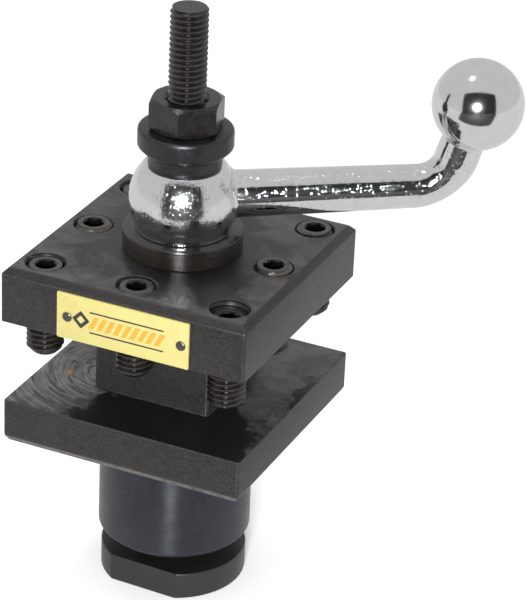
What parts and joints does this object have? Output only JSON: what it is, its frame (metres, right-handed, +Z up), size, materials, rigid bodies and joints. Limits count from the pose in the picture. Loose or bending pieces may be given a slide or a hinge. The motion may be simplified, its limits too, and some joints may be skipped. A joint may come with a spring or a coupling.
{
  "type": "four-way indexing tool post",
  "caption": "Black square turret tool post for a small lathe, with tool slots on its sides, set screws, a threaded stud and a chromed ball lever.",
  "frame": {"origin": "centre of the T-nut's flat underside, on the axis of the stud", "axes": "+Z up along the stud, -Y out of the side that carries the name plate, +X along that side"},
  "size_m": [0.113, 0.086, 0.1645],
  "materials": {
    "black_oxide": "oiled black oxide on milled steel",
    "black_oxide_satin": "satin black oxide on turned steel",
    "fastener_black": "black oxide on rolled threads",
    "stud_black": "black oxide on a cut thread",
    "hardened_steel": "ground and hardened",
    "spring_steel": "drawn spring wire",
    "chrome_plate": "polished chromium plate",
    "plate_yellow": "thin printed metal plate"
  },
  "bodies": {
    "base": {"riser_sleeve": "black_oxide_satin", "detent_adjuster": "fastener_black"},
    "tee_nut_body": {"tee_nut": "black_oxide"},
    "detent": {"detent_plunger": "hardened_steel", "detent_spring": "spring_steel"},
    "turret": {"turret_block": "black_oxide", "thrust_collar": "black_oxide", "name_plate": "plate_yellow", "name_plate_pin_left": "fastener_black", "name_plate_pin_right": "fastener_black"},
    "lever": {"centre_stud": "stud_black", "clamp_lever": "chrome_plate", "lever_knob": "chrome_plate", "shouldered_washer": "black_oxide_satin", "jam_nut": "black_oxide_satin"},
    "screw_front_left": {"set_screw_front_left": "fastener_black"},
    "screw_front_middle": {"set_screw_front_middle": "fastener_black"},
    "screw_front_right": {"set_screw_front_right": "fastener_black"},
    "screw_right_middle": {"set_screw_right_middle": "fastener_black"},
    "screw_back_right": {"set_screw_back_right": "fastener_black"},
    "screw_back_middle": {"set_screw_back_middle": "fastener_black"},
    "screw_back_left": {"set_screw_back_left": "fastener_black"},
    "screw_left_middle": {"set_screw_left_middle": "fastener_black"}
  },
  "joints": [
    {"name": "turret_index", "type": "hinge", "parent": "base", "child": "turret", "pos_m": [0, 0, 0.06], "axis": [0, 0, 1], "continuous": true},
    {"name": "lever_turn", "type": "hinge", "parent": "base", "child": "lever", "pos_m": [0, 0, 0.11], "axis": [0, 0, 1], "range_deg": [-180, 360]},
    {"name": "tee_nut_travel", "type": "slide", "parent": "base", "child": "tee_nut_body", "axis": [0, 0, 1], "range_m": [-0.0016, 0.0008]},
    {"name": "detent_press", "type": "slide", "parent": "base", "child": "detent", "axis": [0, 0, 1], "range_m": [-0.002, 0], "stiffness_N_per_m": 1200, "springref_m": 0.004, "deforming": ["detent_spring"]},
    {"name": "screw_front_left_travel", "type": "slide", "parent": "turret", "child": "screw_front_left", "axis": [0, 0, 1], "range_m": [-0.012, 0.005]},
    {"name": "screw_front_middle_travel", "type": "slide", "parent": "turret", "child": "screw_front_middle", "axis": [0, 0, 1], "range_m": [-0.012, 0.005]},
    {"name": "screw_front_right_travel", "type": "slide", "parent": "turret", "child": "screw_front_right", "axis": [0, 0, 1], "range_m": [-0.011, 0.007]},
    {"name": "screw_right_middle_travel", "type": "slide", "parent": "turret", "child": "screw_right_middle", "axis": [0, 0, 1], "range_m": [-0.013, 0.005]},
    {"name": "screw_back_right_travel", "type": "slide", "parent": "turret", "child": "screw_back_right", "axis": [0, 0, 1], "range_m": [-0.013, 0.005]},
    {"name": "screw_back_middle_travel", "type": "slide", "parent": "turret", "child": "screw_back_middle", "axis": [0, 0, 1], "range_m": [-0.012, 0.005]},
    {"name": "screw_back_left_travel", "type": "slide", "parent": "turret", "child": "screw_back_left", "axis": [0, 0, 1], "range_m": [-0.012, 0.005]},
    {"name": "screw_left_middle_travel", "type": "slide", "parent": "turret", "child": "screw_left_middle", "axis": [0, 0, 1], "range_m": [-0.012, 0.005]}
  ],
  "couplings": [
    {"joint": "tee_nut_travel", "follows": "lever_turn", "m_per_rad": -0.00023873}
  ]
}
